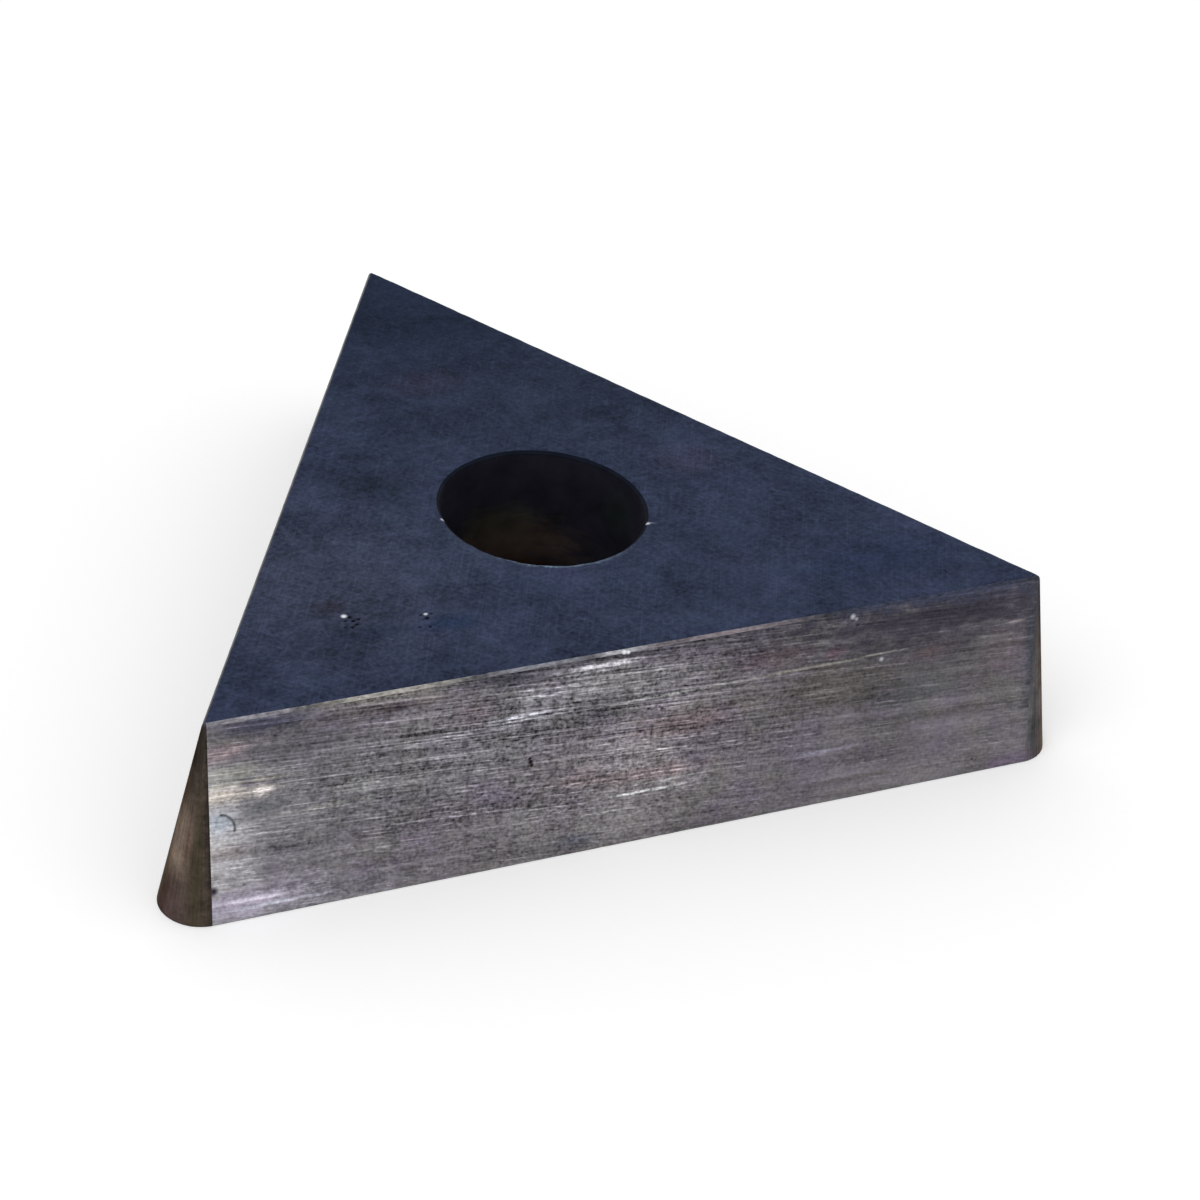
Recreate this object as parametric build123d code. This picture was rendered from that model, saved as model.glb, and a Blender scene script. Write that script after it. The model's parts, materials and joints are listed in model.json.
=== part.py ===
from build123d import *

import os
from math import cos, radians, sin, tan

# Triangular indexable cutting insert in solid sintered carbide.
#
# One piece: a flat triangular tablet whose three ground flanks lean in towards the seat face, with three
# nose corners ground as cones that run tangent into the flanks, and a plain clamping bore through it.
#
# Frame, in millimetres: +Z is up and the origin is on the bore's axis, in the plane of the cutting face.
# The insert lies on that larger cutting face, as it comes to rest on a bench, with its smaller seat face
# upwards. The front flank faces -Y, and one corner points along +Y.

# Driving dimensions
inscribed_circle = 12.70  # diameter of the circle that touches the three cutting edges
thickness = 4.48  # from the cutting face to the seat face
relief_angle = 10.5  # lean of each flank, in degrees
nose_radius = 0.89  # corner radius in the plane of the cutting face
bore_diameter = 4.55  # plain clearance bore for the clamping screw or pin
bore_edge_break = 0.06  # 45 degree break round each mouth of the bore
seat_edge_break = 0.07  # width on the seat face of the 45 degree break along its three edges

# Fixed by the form
CORNERS = 3
CORNER_PITCH = 360 / CORNERS  # degrees from one corner to the next
HALF_CORNER = 30  # half of the corner angle of an equal-sided triangle, in degrees
FIRST_CORNER = 90  # the first corner points along +Y, in degrees
FIRST_FLANK = FIRST_CORNER + 180  # the first flank faces away from the first corner, in degrees
BREAK_LEAN = 45  # lean of an edge break, in degrees
OVERRUN = 1.0  # how far a cutter runs past the faces that it cuts
CONE_TIP = 0.01  # radius at which a nose cone ends, just short of its apex
LOW_CENTRE = (Align.CENTER, Align.CENTER, Align.MIN)  # a round solid stands on its own base plane

corner_directions = [FIRST_CORNER + CORNER_PITCH * k for k in range(CORNERS)]
flank_directions = [FIRST_FLANK + CORNER_PITCH * k for k in range(CORNERS)]


def radial(direction):
    """The level unit vector that points away from the bore's axis in this direction."""
    return Vector(cos(radians(direction)), sin(radians(direction)), 0)


def leaning_plane(direction, distance, height, lean):
    """A plane that faces outwards and, by its lean, upwards. Distance and height give a point on it."""
    outward = radial(direction)
    normal = outward * cos(radians(lean)) + Vector(0, 0, sin(radians(lean)))
    return Plane(origin=outward * distance + Vector(0, 0, height), z_dir=normal)


def grind_flat(body, plane):
    """The body with everything outside one plane ground away."""
    return split(body, plane, keep=Keep.BOTTOM)


def round_blank():
    """A disc that holds the sharp triangle, whose corners lie one inscribed circle from the axis."""
    return Cylinder(inscribed_circle + OVERRUN, thickness, align=LOW_CENTRE)


def relieved_tablet():
    """The sharp-cornered triangular tablet with its three flat flanks, each leaning in as it rises."""
    body = round_blank()
    for direction in flank_directions:
        flank = leaning_plane(direction, inscribed_circle / 2, 0, relief_angle)
        body = grind_flat(body, flank)
    return body


def nose_cone_height():
    """How far above the cutting face a nose cone has narrowed almost to its apex."""
    return (nose_radius - CONE_TIP) / tan(radians(relief_angle))


def nose_cone():
    """The cone that a nose keeps, on the Z axis, from below the cutting face almost to its apex.

    It leans as the flanks do, so its radius falls from the nose radius in the plane of the cutting face to
    nearly nothing at the seat face.
    """
    low_radius = nose_radius + OVERRUN * tan(radians(relief_angle))
    length = nose_cone_height() + OVERRUN
    return Pos(0, 0, -OVERRUN) * Cone(low_radius, CONE_TIP, length, align=LOW_CENTRE)


def nose_cutter():
    """What grinding the nose at +X takes away, set on the nose cone's axis.

    It is the sector between the two lines where the cone runs into the flanks, less the cone itself.
    """
    reach = nose_radius / sin(radians(HALF_CORNER)) + OVERRUN
    half_width = reach * tan(radians(90 - HALF_CORNER))
    fan = make_face(Polyline((0, 0), (reach, -half_width), (reach, half_width), close=True))
    sector = Pos(0, 0, -OVERRUN) * extrude(fan, amount=nose_cone_height() + OVERRUN)
    return sector - nose_cone()


def round_noses(body):
    """The body with its three corners ground to cones that run tangent into the flanks."""
    centre_distance = (inscribed_circle / 2 - nose_radius) / sin(radians(HALF_CORNER))
    cutter = nose_cutter()
    for direction in corner_directions:
        body -= Rot(0, 0, direction) * Pos(centre_distance, 0, 0) * cutter
    return body


def break_seat_edges(body):
    """The body with the sharpness taken off the three edges of its seat face."""
    seat_inradius = inscribed_circle / 2 - thickness * tan(radians(relief_angle))
    for direction in flank_directions:
        facet = leaning_plane(direction, seat_inradius - seat_edge_break, thickness, BREAK_LEAN)
        body = grind_flat(body, facet)
    return body


def bore_tool():
    """The clamping bore, with a 45 degree break round each of its two mouths."""
    bore_radius = bore_diameter / 2
    wide_radius = bore_radius + bore_edge_break + OVERRUN
    half_profile = [
        (0, -OVERRUN),
        (wide_radius, -OVERRUN),
        (bore_radius, bore_edge_break),
        (bore_radius, thickness - bore_edge_break),
        (wide_radius, thickness + OVERRUN),
        (0, thickness + OVERRUN),
    ]
    return revolve(Plane.XZ * make_face(Polyline(*half_profile, close=True)), Axis.Z)


def carbide_insert():
    """The whole insert: the relieved tablet with its noses rounded, its seat edges broken and its bore."""
    body = round_noses(relieved_tablet())
    body = break_seat_edges(body)
    return body - bore_tool()


if __name__ == "__main__":
    os.makedirs("parts", exist_ok=True)
    insert = carbide_insert()
    export_step(insert, "parts/carbide_insert.step")
    print("carbide_insert", "volume", round(insert.volume, 2), "mm3", "size", insert.bounding_box().size)
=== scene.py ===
# %% [markdown]
# # A triangular carbide cutting insert
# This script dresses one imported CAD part: a flat triangular insert of sintered carbide, ground on its flanks
# and noses, lying on its large cutting face. The CAD model holds the true sizes. Here the same form is
# modelled again as a fine mesh, so that its edges can be worn, and each ground surface gets its own finish.

# %% Load the frame
import json
from math import asin, atan2, cos, degrees, radians, sin, tan

import bmesh
import bpy
from mathutils import Matrix, Vector


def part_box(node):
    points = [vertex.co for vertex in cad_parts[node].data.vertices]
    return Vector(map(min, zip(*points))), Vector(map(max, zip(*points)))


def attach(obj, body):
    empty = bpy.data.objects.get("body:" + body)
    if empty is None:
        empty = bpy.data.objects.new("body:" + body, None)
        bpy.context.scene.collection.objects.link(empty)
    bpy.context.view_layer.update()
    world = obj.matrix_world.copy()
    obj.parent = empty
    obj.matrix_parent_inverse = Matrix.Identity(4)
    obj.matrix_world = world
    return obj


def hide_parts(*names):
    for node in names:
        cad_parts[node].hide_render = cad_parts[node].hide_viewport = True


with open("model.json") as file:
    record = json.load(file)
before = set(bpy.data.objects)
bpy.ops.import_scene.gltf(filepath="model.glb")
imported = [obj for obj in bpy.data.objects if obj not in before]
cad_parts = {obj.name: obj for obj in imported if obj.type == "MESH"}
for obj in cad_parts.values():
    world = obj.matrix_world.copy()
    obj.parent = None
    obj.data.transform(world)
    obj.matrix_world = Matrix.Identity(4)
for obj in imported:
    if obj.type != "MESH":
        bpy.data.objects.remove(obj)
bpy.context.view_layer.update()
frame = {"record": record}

bpy.context.scene.view_settings.view_transform = "Standard"

# %% [markdown]
# ## Sizes
# An insert is drawn from a few sizes: the circle that its three edges touch, its thickness, the lean of its
# flanks, the radius of its noses and its bore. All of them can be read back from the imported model: the box
# gives the first ones, and the record's mounts give the bore and the lean. So nothing is typed in twice.
# They are kept in millimetres, because the part is modelled a thousand times too large and scaled down at the
# end: Blender's mesh tools have fixed tolerances that are too coarse for a part of one centimetre.

# %% Read the sizes from the frame
MM = 0.001
low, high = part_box("carbide_insert")
mounts = {mount["name"]: mount for mount in frame["record"]["mounts"]}
thickness = high.z / MM
inscribed_radius = -low.y / MM
nose_radius = 2 * inscribed_radius - high.y / MM
bore_radius = mounts["bore"]["dims"]["r_mm"]
bore_break = (thickness - mounts["bore"]["dims"]["length_mm"]) / 2
relief = asin(mounts["flank_front"]["axis"][2])
lean = thickness * tan(relief)
print("sizes in mm: inscribed circle", round(2 * inscribed_radius, 3), "thickness", round(thickness, 3),
      "nose", round(nose_radius, 3), "bore", round(bore_radius, 3), "relief", round(degrees(relief), 2))

# %% [markdown]
# ## Camera
# The camera looks down on the seat face from the front left, at about a hand's width, so the perspective is
# strong: the near corner looks much larger than the far one. It is rolled a few degrees. Its direction is
# given by two angles round a target point, which is easier to read and change than a location.

# %% Set the camera
camera_azimuth = -27.173
camera_elevation = 34.100
camera_roll = 6.405
camera_distance = 74.257 * MM
camera_target = Vector((2.786, 2.186, 0)) * MM
camera_lens = 94.301


def camera_matrix():
    """The camera's place and its turn, from its two angles, its roll and its distance."""
    azimuth, elevation, roll = (radians(a) for a in (camera_azimuth, camera_elevation, camera_roll))
    back = Vector((sin(azimuth) * cos(elevation), -cos(azimuth) * cos(elevation), sin(elevation)))
    turn = back.to_track_quat("Z", "Y").to_matrix().to_4x4() @ Matrix.Rotation(roll, 4, "Z")
    return Matrix.Translation(camera_target + back * camera_distance) @ turn


bpy.ops.object.camera_add()
camera = bpy.context.object
camera.name = "view_camera"
camera.matrix_world = camera_matrix()
camera.data.lens = camera_lens
camera.data.clip_start = 1 * MM
camera.data.clip_end = 5
bpy.context.scene.camera = camera
print("camera at", [round(x / MM, 1) for x in camera.location], "mm")

# %% [markdown]
# ## Selecting in code
# By hand, one would click on a vertex or a face. Here a small helper walks through the mesh in edit mode and
# selects what passes a test on its place. Everything is deselected first, because an operator acts on all
# that is selected.

# %% Helpers for edit mode
def pick(kind, test):
    """Selects the vertices, edges or faces that pass a test, and says how many there are."""
    bpy.ops.mesh.select_mode(type=kind)
    bpy.ops.mesh.select_all(action="DESELECT")
    mesh = bmesh.from_edit_mesh(bpy.context.object.data)
    parts = {"VERT": mesh.verts, "EDGE": mesh.edges, "FACE": mesh.faces}[kind]
    found = [part for part in parts if test(part)]
    for part in found:
        part.select_set(True)
    mesh.select_flush_mode()
    bmesh.update_edit_mesh(bpy.context.object.data)
    return len(found)


def heading(direction):
    """The level unit vector in a direction given in degrees."""
    return Vector((cos(radians(direction)), sin(radians(direction)), 0))


corner_directions = [90, 210, 330]
flank_directions = [270, 30, 150]
print("corners point to", corner_directions, "flanks face", flank_directions)

# %% [markdown]
# ## The cutting outline
# Seen from above, the cutting edge is a triangle with three round noses. It could be a triangle with bevelled
# corners, but a bevel on a corner of 60 degrees isn't quite a circle. Instead a small circle of the nose's
# radius is cut into three arcs that are pulled outwards to the three corners: the edges between the arcs
# stretch into the three straight cutting edges.

# %% Pull a circle out into the outline
NOSE_POINTS = 29
FLANK_STEPS = 190

bpy.ops.object.select_all(action="DESELECT")
bpy.ops.mesh.primitive_circle_add(vertices=3 * NOSE_POINTS, radius=nose_radius)
insert = bpy.context.object
insert.name = "ground_insert"
insert.data.name = "ground_insert"
bpy.ops.object.mode_set(mode="EDIT")

nose_distance = 2 * (inscribed_radius - nose_radius)
half_flank = nose_distance * cos(radians(30))
for direction in corner_directions:
    towards = heading(direction)
    pick("VERT", lambda v: v.co.length < 2 * nose_radius and v.co.dot(towards) > nose_radius / 2)
    bpy.ops.transform.translate(value=towards * nose_distance)
straight_edges = pick("EDGE", lambda e: e.calc_length() > half_flank)
bpy.ops.mesh.subdivide(number_cuts=FLANK_STEPS // 2 - 1)
bpy.ops.mesh.subdivide(number_cuts=1)
print("straight edges:", straight_edges, "points round the outline:", pick("VERT", lambda v: True))

# %% [markdown]
# ## The leaning flanks
# A positive insert narrows from its cutting face to its seat face, so its flanks lean in and its noses are
# cones. Filling the outline and insetting the face does both at once: each inset moves every edge inwards by
# the same distance, and its depth lifts the face. Many shallow insets give rows of small faces, which the
# wear needs later, and the rows are finer next to the two edges.

# %% Raise the flanks row by row
FLANK_ROWS = 40
SEAT_BREAK = 0.07
FINE_ROWS = [0.035, 0.045, 0.06]
BREAK_STEPS = [(0.012, 0.032), (0.022, 0.024), (0.023, 0.014)]


def inset_up(inwards, upwards):
    """Insets the selected face and lifts it."""
    bpy.ops.mesh.inset(thickness=inwards, depth=upwards, use_even_offset=True)


pick("VERT", lambda v: True)
bpy.ops.mesh.edge_face_add()
if pick("FACE", lambda f: f.normal.z < 0):
    bpy.ops.mesh.flip_normals()
pick("FACE", lambda f: True)

flank_height = thickness - SEAT_BREAK
even_height = (flank_height - 2 * sum(FINE_ROWS)) / FLANK_ROWS
flank_rows = FINE_ROWS + [even_height] * FLANK_ROWS + FINE_ROWS[::-1]
for row in flank_rows:
    inset_up(row * tan(relief), row)
for inwards, upwards in BREAK_STEPS:
    inset_up(inwards, upwards)
print("rows up the flank:", len(flank_rows), "rows on the seat's edge:", len(BREAK_STEPS))

# %% [markdown]
# ## The two flat faces and the bore
# The bore is four circles on one axis: the mouth in the seat face, the two ends of the wall and the mouth in
# the cutting face. The seat face is then a bridge from its outline to the upper mouth, the wall a bridge
# between the circles, and the cutting face a bridge from the cutting edge to the lower mouth. For a clean
# bridge both loops need as many points, so each nose is first gathered into one point where it meets a flat
# face.

# %% Gather the noses where they meet the flat faces
NEAR = 0.0015


def at_height(part, height):
    """Whether a point, or both ends of an edge, lie at a height."""
    verts = part.verts if isinstance(part, bmesh.types.BMEdge) else [part]
    return all(abs(v.co.z - height) < NEAR for v in verts)


def in_nose(point):
    """Whether a point lies beyond the straight part of the flanks, in one of the three noses."""
    return all(abs(point.dot(heading(d + 90))) > half_flank - NEAR or point.dot(heading(d)) < 0
               for d in flank_directions)


def open_edge(edge, height):
    """Whether an edge at a height has a face on one side only."""
    return len(edge.link_faces) < 2 and at_height(edge, height)


def gather_noses(height):
    """Merges the points of each nose's open edge into one point."""
    pick("VERT", lambda v: at_height(v, height) and v.is_boundary and in_nose(v.co))
    bpy.ops.mesh.merge(type="COLLAPSE")


pick("FACE", lambda f: len(f.verts) > 4)
bpy.ops.mesh.delete(type="ONLY_FACE")
gather_noses(thickness)
print("points round the seat face:", pick("VERT", lambda v: at_height(v, thickness)))

# %% Add the fine rows of the seat face
seat_reach = inscribed_radius - lean
pick("EDGE", lambda e: open_edge(e, thickness))
for row in FINE_ROWS:
    shrink = 1 - row / seat_reach
    bpy.ops.mesh.extrude_edges_move()
    bpy.ops.transform.resize(value=(shrink, shrink, 1), center_override=(0, 0, 0))
print("points on the seat face:", pick("VERT", lambda v: at_height(v, thickness)))

# %% Add the fine rows of the cutting face
NOSE_REST = 0.02

pick("EDGE", lambda e: open_edge(e, 0))
bpy.ops.mesh.edge_face_add()
gather_inset = nose_radius - NOSE_REST
for row in FINE_ROWS + [gather_inset - sum(FINE_ROWS)]:
    bpy.ops.mesh.inset(thickness=row, use_even_offset=True)
bpy.ops.mesh.delete(type="ONLY_FACE")
gather_noses(0)
print("points on the cutting face:", pick("VERT", lambda v: at_height(v, 0)))

# %% Bridge the seat face, the bore and the cutting face
RING_POINTS = 3 * FLANK_STEPS
SEAT_CUTS = 28
WALL_CUTS = 20
CUTTING_CUTS = 10


def open_ring(height, radius):
    """Selects the open loop at a height, and adds a circle of the bore to it."""
    pick("EDGE", lambda e: open_edge(e, height))
    bpy.ops.mesh.primitive_circle_add(vertices=RING_POINTS, radius=radius, location=(0, 0, height))
    pick("EDGE", lambda e: open_edge(e, height))


open_ring(thickness, bore_radius + bore_break)
bpy.ops.mesh.bridge_edge_loops(number_cuts=SEAT_CUTS, interpolation="LINEAR")
open_ring(0, bore_radius + bore_break)
bpy.ops.mesh.bridge_edge_loops(number_cuts=CUTTING_CUTS, interpolation="LINEAR")
wall_levels = [thickness, thickness - bore_break, bore_break, 0]
for level in wall_levels[1:3]:
    bpy.ops.mesh.primitive_circle_add(vertices=RING_POINTS, radius=bore_radius, location=(0, 0, level))
for upper, lower, cuts in zip(wall_levels[:3], wall_levels[1:], (1, WALL_CUTS, 1)):
    pick("EDGE", lambda e: open_edge(e, upper) or open_edge(e, lower))
    bpy.ops.mesh.bridge_edge_loops(number_cuts=cuts, interpolation="LINEAR")
pick("FACE", lambda f: True)
bpy.ops.mesh.normals_make_consistent(inside=False)
print("open edges left:", pick("EDGE", lambda e: e.is_boundary))

# %% [markdown]
# ## Where the part is marked
# This insert has been handled loose with others. It has small pits in its front flank and seat face, a
# crescent dent near the left end of the flank, nicks along the seat's edge, and a few tiny chips that still
# shine. Two more bright points, on the rim of the bore, are painted glints that are made like the chips. The
# mesh is too coarse for marks of a twentieth of a millimetre, so it is only made finer round them.

# %% Place the marks
def on_front_flank(along, down):
    """A point on the front flank, from its place along the flank and down its slope."""
    height = thickness - down * cos(relief)
    reach = inscribed_radius - height * tan(relief)
    return Vector((along, -reach, height))


def on_seat(x, y):
    """A point on the seat face."""
    return Vector((x, y, thickness))


CRESCENT_CENTRE = (-9.30, 2.42)
CRESCENT_RADIUS = 0.35
CRESCENT_ANGLES = range(-10, 81, 4)
CRESCENT_DENT = (0.055, 0.016)
FLANK_PITS = [(-2.57, 2.12, 0.055, 0.026), (-2.55, 2.2, 0.07, 0.034), (-2.53, 2.28, 0.06, 0.03),
              (0.42, 1.52, 0.07, 0.014), (0.37, 1.47, 0.055, 0.012), (5.0, 0.4, 0.08, 0.01),
              (-8.8, 3.75, 0.06, 0.012), (-7.4, 3.08, 0.055, 0.009), (-9.42, 3.78, 0.1, 0.014)]
EDGE_NICKS = [(-7.35, 0.03, 0.12, 0.007), (-3.55, 0.03, 0.1, 0.007), (-1.95, 0.03, 0.13, 0.008),
              (0.95, 0.03, 0.12, 0.006), (3.15, 0.03, 0.13, 0.006), (6.6, 0.03, 0.12, 0.005)]
SEAT_PITS = [(-5.52, -2.84, 0.075, 0.028), (-5.5, -2.99, 0.07, 0.026), (-5.37, -2.96, 0.07, 0.024),
             (-5.47, -3.13, 0.065, 0.024), (-5.65, -2.94, 0.065, 0.022), (-5.73, -3.16, 0.06, 0.022),
             (-5.59, -3.2, 0.07, 0.024), (-3.99, -3.31, 0.075, 0.028), (-4.08, -3.17, 0.055, 0.02),
             (-3.85, -3.18, 0.055, 0.022), (-4.25, -3.57, 0.06, 0.02), (-4.04, -3.62, 0.06, 0.022)]
FLANK_CHIPS = [(4.88, 0.17, 0.105, 0.48), (4.97, 0.24, 0.08, 0.36), (5.64, 1.31, 0.09, 0.46),
               (-0.47, 0.05, 0.08, 1.0), (-0.38, 0.07, 0.06, 1.0)]
# The last two seat chips, on the rim of the bore, are painted glints made like the chips.
SEAT_CHIPS_AND_RIM_GLINTS = [(-5.63, -2.78, 0.09, 1.0), (-3.97, -3.17, 0.064, 0.9), (-2.31, 0.1, 0.08, 0.8),
              (1.98, -1.24, 0.08, 0.8)]
CHIP_DEPTH = 0.008
CHIPS_AND_GLINTS = [(on_front_flank(u, v), radius, shine) for u, v, radius, shine in FLANK_CHIPS]
CHIPS_AND_GLINTS += [(on_seat(x, y), radius, shine) for x, y, radius, shine in SEAT_CHIPS_AND_RIM_GLINTS]

dents = [(on_front_flank(u, v), radius, depth) for u, v, radius, depth in FLANK_PITS + EDGE_NICKS]
dents += [(on_seat(x, y), radius, depth) for x, y, radius, depth in SEAT_PITS]
dents += [(place, radius, CHIP_DEPTH * shine) for place, radius, shine in CHIPS_AND_GLINTS]
for angle in CRESCENT_ANGLES:
    u = CRESCENT_CENTRE[0] + CRESCENT_RADIUS * cos(radians(angle))
    v = CRESCENT_CENTRE[1] - CRESCENT_RADIUS * sin(radians(angle))
    dents.append((on_front_flank(u, v), *CRESCENT_DENT))
print("dents:", len(dents), "chips:", len(CHIPS_AND_GLINTS))

# %% Make the mesh finer round the marks
DENT_CUTS = 4
DENT_MARGIN = 0.06
near_dents = pick("FACE", lambda f: any(
    (f.calc_center_median() - place).length < radius + DENT_MARGIN for place, radius, depth in dents))
bpy.ops.mesh.subdivide(number_cuts=DENT_CUTS, ngon=False, quadcorner="INNERVERT")
print("faces near marks:", near_dents, "faces now:", pick("FACE", lambda f: True))

# %% [markdown]
# ## Six finishes
# A ground insert doesn't look the same all over. The flanks show long grinding lines, the noses lines that
# run down the cones, the two flat faces are lapped, the bore stays as sintered, and the narrow land at the
# seat's edge is rubbed. Each gets its own material slot. The faces are picked by their place, so the list
# below is also a description of the part.

# %% Tell the surfaces apart
def flank_of(point):
    """Which flank a point faces, and how far along that flank it lies."""
    number = max(range(3), key=lambda k: point.dot(heading(flank_directions[k])))
    return number, point.dot(heading(flank_directions[number] + 90))


def join_along(height):
    """How far along a flank its join with a nose lies: the first point of the nose's arc at that height."""
    radius = nose_radius - height * tan(relief)
    return half_flank + radius * sin(radians(180 / (3 * NOSE_POINTS)))


def surface_of(face):
    """The surface a face belongs to."""
    centre = face.calc_center_median()
    if centre.to_2d().length < bore_radius + bore_break:
        return "bore_wall"
    if abs(face.normal.z) > cos(relief):
        return "seat_face" if face.normal.z > 0 else "cutting_face"
    if centre.z > thickness - SEAT_BREAK:
        return "edge_land"
    return "ground_flank" if abs(flank_of(centre)[1]) < join_along(centre.z) else "ground_nose"


surfaces = ["ground_flank", "ground_nose", "seat_face", "cutting_face", "bore_wall", "edge_land"]
materials = {name: bpy.data.materials.new(name) for name in surfaces}
for slot_number, name in enumerate(surfaces):
    bpy.ops.object.material_slot_add()
    insert.material_slots[slot_number].material = materials[name]
    insert.active_material_index = slot_number
    found = pick("FACE", lambda f: surface_of(f) == name)
    bpy.ops.object.material_slot_assign()
    print(name, found, "faces")

# %% [markdown]
# ## A map in millimetres
# The finishes are drawn with procedural patterns, and a pattern needs to know which way a surface was ground.
# So the part gets its own map, in millimetres: along and down each flank, round and down each nose, round
# and down the bore, and plainly from above on the flat faces. Each flank and nose has its own place on the
# map, so no two of them show the same marks.

# %% Unroll the surfaces onto a map
MAP_STEP = 40


def on_flank(surface, centre):
    """Whether a face is unrolled with a flank: the flank itself, or the land above it."""
    on_side = abs(flank_of(centre)[1]) < join_along(centre.z)
    return surface == "ground_flank" or (surface == "edge_land" and on_side)


def unrolled(point, surface, centre):
    """The place of a point on the map, in millimetres, for the face it belongs to."""
    if surface in ("seat_face", "cutting_face"):
        return point.x, point.y
    down = (thickness - point.z) / cos(relief)
    if surface == "bore_wall":
        turn = atan2(centre.x * point.y - centre.y * point.x, centre.x * point.x + centre.y * point.y)
        return bore_radius * (atan2(centre.y, centre.x) + turn), down
    if on_flank(surface, centre):
        number = flank_of(centre)[0]
        return point.dot(heading(flank_directions[number] + 90)) + MAP_STEP * number, down
    number = max(range(3), key=lambda k: centre.dot(heading(corner_directions[k])))
    towards = heading(corner_directions[number])
    arm = point - towards * nose_distance
    turn = atan2(arm.dot(heading(corner_directions[number] + 90)), arm.dot(towards))
    return nose_radius * turn + MAP_STEP * (number + 0.5), down


bpy.ops.object.mode_set(mode="OBJECT")
bpy.ops.mesh.uv_texture_add()
surface_map = insert.data.uv_layers[0]
surface_map.name = "surface_mm"
for face in insert.data.polygons:
    for corner, vertex in zip(face.loop_indices, face.vertices):
        point = insert.data.vertices[vertex].co
        place = unrolled(point, surfaces[face.material_index], face.center)
        surface_map.data[corner].uv = place
print("map of", len(surface_map.data), "corners")

# %% [markdown]
# ## What the finishes need to know
# Wear sits on the edges, so every vertex keeps its distance to the nearest edge: of the outline, the mouth of
# the bore, or the top and bottom of a wall. The dents are darkened, for dirt and painted shade, and the chips
# show fresh metal, two of them as painted glints, so every vertex also keeps how far inside a dent and a chip
# it is. All three are attributes of the mesh that the finishes can read.

# %% Store the distance to the nearest edge, the dents, and the chips and glints
def edge_distance(point):
    """How far a point is from the nearest edge, in millimetres."""
    from_axis = point.to_2d().length
    if NEAR < point.z < thickness - NEAR:
        return min(point.z, thickness - point.z) / cos(relief)
    reach = inscribed_radius - point.z * tan(relief)
    to_outline = reach - max(point.dot(heading(d)) for d in flank_directions)
    return min(abs(to_outline), abs(from_axis - bore_radius - bore_break))


def dent_weight(point):
    """How deep the surface gives way at a point, as a share of the deepest dent."""
    weight = 0.0
    for place, radius, depth in dents:
        share = (point - place).length / radius
        if share < 1:
            weight = max(weight, depth / DENT_DEPTH * (1 - share ** 2) ** 2)
    return weight


def chip_and_glint_weight(point):
    """How bare the metal is, and how bright a painted glint is, at a point: 0 outside them, and up to 1 in the
    middle of one.
    """
    return max(0, *(shine * (1 - (point - place).length / radius) for place, radius, shine in CHIPS_AND_GLINTS))


DENT_DEPTH = max(depth for place, radius, depth in dents)
distances = [edge_distance(vertex.co) for vertex in insert.data.vertices]
weights = [dent_weight(vertex.co) for vertex in insert.data.vertices]
fresh_and_glint = [chip_and_glint_weight(vertex.co) for vertex in insert.data.vertices]
for name, values in (("edge_mm", distances), ("dent", weights), ("chip_and_glint", fresh_and_glint)):
    bpy.ops.geometry.attribute_add(name=name, domain="POINT", data_type="FLOAT")
    insert.data.attributes[name].data.foreach_set("value", values)
print("farthest point from an edge:", round(max(distances), 2), "mm, points in dents:",
      sum(weight > 0 for weight in weights))

# %% [markdown]
# ## Dents and worn edges
# Two weights on the vertices say where the surface gives way: one round each mark, one along the edges. The
# Displace modifier then pushes the surface inwards along its normals. On the edges two cloud textures drive
# it, a soft one and a hard one, so that they are worn unevenly, with a nick here and there. The cutting edge
# at the bottom gives way less, because it was ground sharp. Nothing moves outwards, so the part stays inside
# its true size.

# %% Weigh the dents and the edges
EDGE_BAND = 0.09
SHARP_SHARE = 0.3

dent_group = insert.vertex_groups.new(name="dents")
edge_group = insert.vertex_groups.new(name="edges")
for vertex, from_edge, weight in zip(insert.data.vertices, distances, weights):
    share = 1 if vertex.co.z > thickness / 2 else SHARP_SHARE
    edge_group.add([vertex.index], share * max(0, 1 - from_edge / EDGE_BAND), "REPLACE")
    dent_group.add([vertex.index], weight, "REPLACE")
print("points near an edge:", sum(distance < EDGE_BAND for distance in distances))

# %% Push them in
EVEN_WEAR = 0.014
NICK_WEAR = 0.012


def cloud_texture(name, size, contrast, intensity):
    """A cloud pattern for a Displace modifier."""
    texture = bpy.data.textures.new(name, "CLOUDS")
    texture.noise_scale = size
    texture.contrast = contrast
    texture.intensity = intensity
    texture.use_clamp = True
    return texture


def push_in(group, depth, texture=None):
    """Displaces the surface inwards where a group has weight, and applies it."""
    bpy.ops.object.modifier_add(type="DISPLACE")
    modifier = insert.modifiers[-1]
    modifier.vertex_group = group
    modifier.texture = texture
    modifier.mid_level = 0.0
    modifier.strength = -depth
    bpy.ops.object.modifier_apply(modifier=modifier.name)


push_in("dents", DENT_DEPTH)
push_in("edges", EVEN_WEAR, cloud_texture("even_wear", 0.30, 1.6, 1.0))
push_in("edges", NICK_WEAR, cloud_texture("edge_nicks", 0.45, 4.0, 0.55))
print("size in mm after wear:", [round(x, 3) for x in insert.dimensions])

# %% Bring the part down to its real size
SHARP_ANGLE = 40

insert.scale = (MM, MM, MM)
bpy.ops.object.transform_apply(location=False, rotation=False, scale=True)
bpy.ops.object.shade_smooth_by_angle(angle=radians(SHARP_ANGLE))
print("faces:", len(insert.data.polygons), "size in mm:", [round(x / MM, 3) for x in insert.dimensions])

# %% [markdown]
# ## Building node trees
# A finish is a tree of shader nodes. A few helpers keep the trees short: one adds a node and fills its inputs
# with values or links, and the others wrap the nodes that are used most.

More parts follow.
